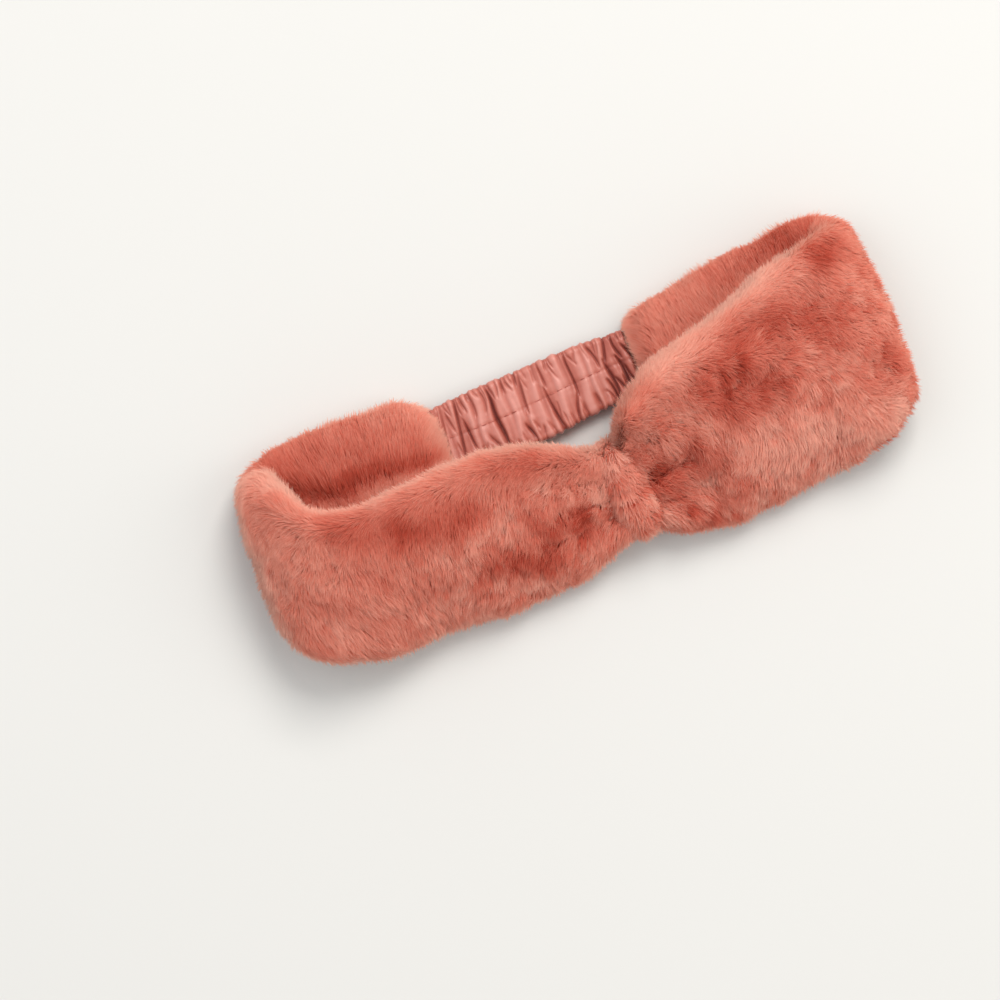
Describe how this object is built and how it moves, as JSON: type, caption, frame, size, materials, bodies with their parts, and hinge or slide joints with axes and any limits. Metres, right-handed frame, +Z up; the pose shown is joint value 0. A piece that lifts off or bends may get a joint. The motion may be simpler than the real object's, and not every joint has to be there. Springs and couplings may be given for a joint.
{
  "type": "faux fur headwrap",
  "caption": "Padded faux fur headwrap lying flat: a deep pile band pinched at the front by a fur wrap and closed at the back by a gathered elastic casing.",
  "frame": {"origin": "on the surface that the headwrap lies on, under the middle of its box", "axes": "+X along the long side, pinched front to the right of the middle; +Y towards the elastic at the back of the head; +Z up, out of the surface"},
  "size_m": [0.262, 0.1016, 0.0531],
  "materials": {
    "faux_fur": "deep coral faux fur pile",
    "wrap_fur": "coral faux fur pile, drawn tight",
    "sateen": "soft satin sheen, gathered over elastic"
  },
  "bodies": {
    "root": {"fur_band": "faux_fur", "centre_wrap": "wrap_fur", "elastic_casing": "sateen"}
  },
  "joints": []
}
